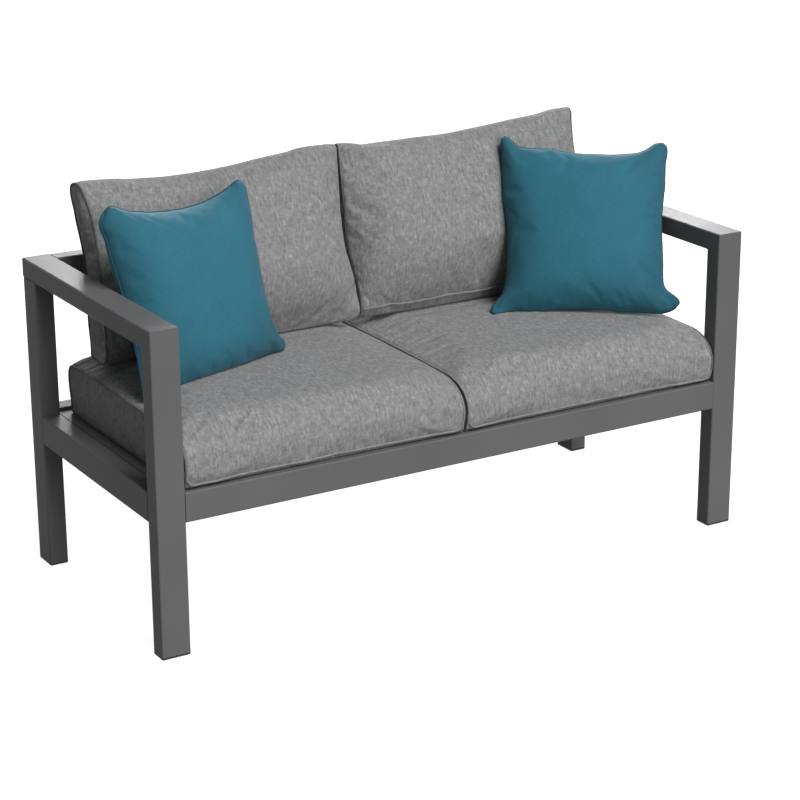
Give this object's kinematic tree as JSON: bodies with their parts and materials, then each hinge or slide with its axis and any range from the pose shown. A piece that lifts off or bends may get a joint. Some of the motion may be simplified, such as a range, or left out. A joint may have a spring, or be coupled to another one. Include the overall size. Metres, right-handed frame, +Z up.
{
  "type": "garden sofa",
  "caption": "Garden loveseat with a square-tube metal frame, flat arms, loose boxed seat and back cushions and throw pillows.",
  "frame": {"origin": "on the floor under the middle of the frame", "axes": "+X along the sofa towards its right arm as seen from the front, +Y from the front to the back, +Z up"},
  "size_m": [1.36, 0.6, 0.8277],
  "materials": {
    "frame_metal": "charcoal grey powder coat, satin",
    "glide_plastic": "moulded, black",
    "fastener_steel": "stainless, plain",
    "cushion_fabric": "woven heather grey",
    "pillow_fabric": "woven teal"
  },
  "bodies": {
    "frame": {"back_bolts": "fastener_steel", "back_bottom_bar": "frame_metal", "back_nuts": "fastener_steel", "back_slat_1": "frame_metal", "back_slat_2": "frame_metal", "back_slat_3": "frame_metal", "back_slat_4": "frame_metal", "back_slat_5": "frame_metal", "back_slat_6": "frame_metal", "back_slat_7": "frame_metal", "back_top_rail": "frame_metal", "front_seat_rail": "frame_metal", "left_arm_end_plate": "frame_metal", "left_arm_rail": "frame_metal", "left_front_glide": "glide_plastic", "left_front_leg": "frame_metal", "left_rear_glide": "glide_plastic", "left_rear_leg": "frame_metal", "left_seat_bolts": "fastener_steel", "left_seat_end_angle": "frame_metal", "left_seat_nuts": "fastener_steel", "left_side_rail": "frame_metal", "rear_seat_rail": "frame_metal", "right_arm_end_plate": "frame_metal", "right_arm_rail": "frame_metal", "right_front_glide": "glide_plastic", "right_front_leg": "frame_metal", "right_rear_glide": "glide_plastic", "right_rear_leg": "frame_metal", "right_seat_bolts": "fastener_steel", "right_seat_end_angle": "frame_metal", "right_seat_nuts": "fastener_steel", "right_side_rail": "frame_metal", "seat_slat_1": "frame_metal", "seat_slat_2": "frame_metal", "seat_slat_3": "frame_metal", "seat_slat_4": "frame_metal", "seat_slat_5": "frame_metal", "seat_slat_6": "frame_metal", "seat_slat_7": "frame_metal", "seat_slat_8": "frame_metal", "seat_slat_9": "frame_metal", "top_rail_end_plates": "frame_metal", "top_rail_pins": "fastener_steel"},
    "left_seat": {"left_seat_cushion": "cushion_fabric"},
    "left_back": {"left_back_cushion": "cushion_fabric"},
    "left_pillow": {"left_throw_pillow": "pillow_fabric"},
    "right_seat": {"right_seat_cushion": "cushion_fabric"},
    "right_back": {"right_back_cushion": "cushion_fabric"},
    "right_pillow": {"right_throw_pillow": "pillow_fabric"}
  },
  "joints": [
    {"name": "left_seat_lift", "type": "slide", "parent": "frame", "child": "left_seat", "axis": [0, 0, 1], "range_m": [0, 0.36]},
    {"name": "left_back_lift", "type": "slide", "parent": "left_seat", "child": "left_back", "axis": [0, 0, 1], "range_m": [0, 0.26]},
    {"name": "left_pillow_lift", "type": "slide", "parent": "left_back", "child": "left_pillow", "axis": [0, 0, 1], "range_m": [0, 0.26]},
    {"name": "right_seat_lift", "type": "slide", "parent": "frame", "child": "right_seat", "axis": [0, 0, 1], "range_m": [0, 0.36]},
    {"name": "right_back_lift", "type": "slide", "parent": "right_seat", "child": "right_back", "axis": [0, 0, 1], "range_m": [0, 0.26]},
    {"name": "right_pillow_lift", "type": "slide", "parent": "right_back", "child": "right_pillow", "axis": [0, 0, 1], "range_m": [0, 0.26]}
  ]
}
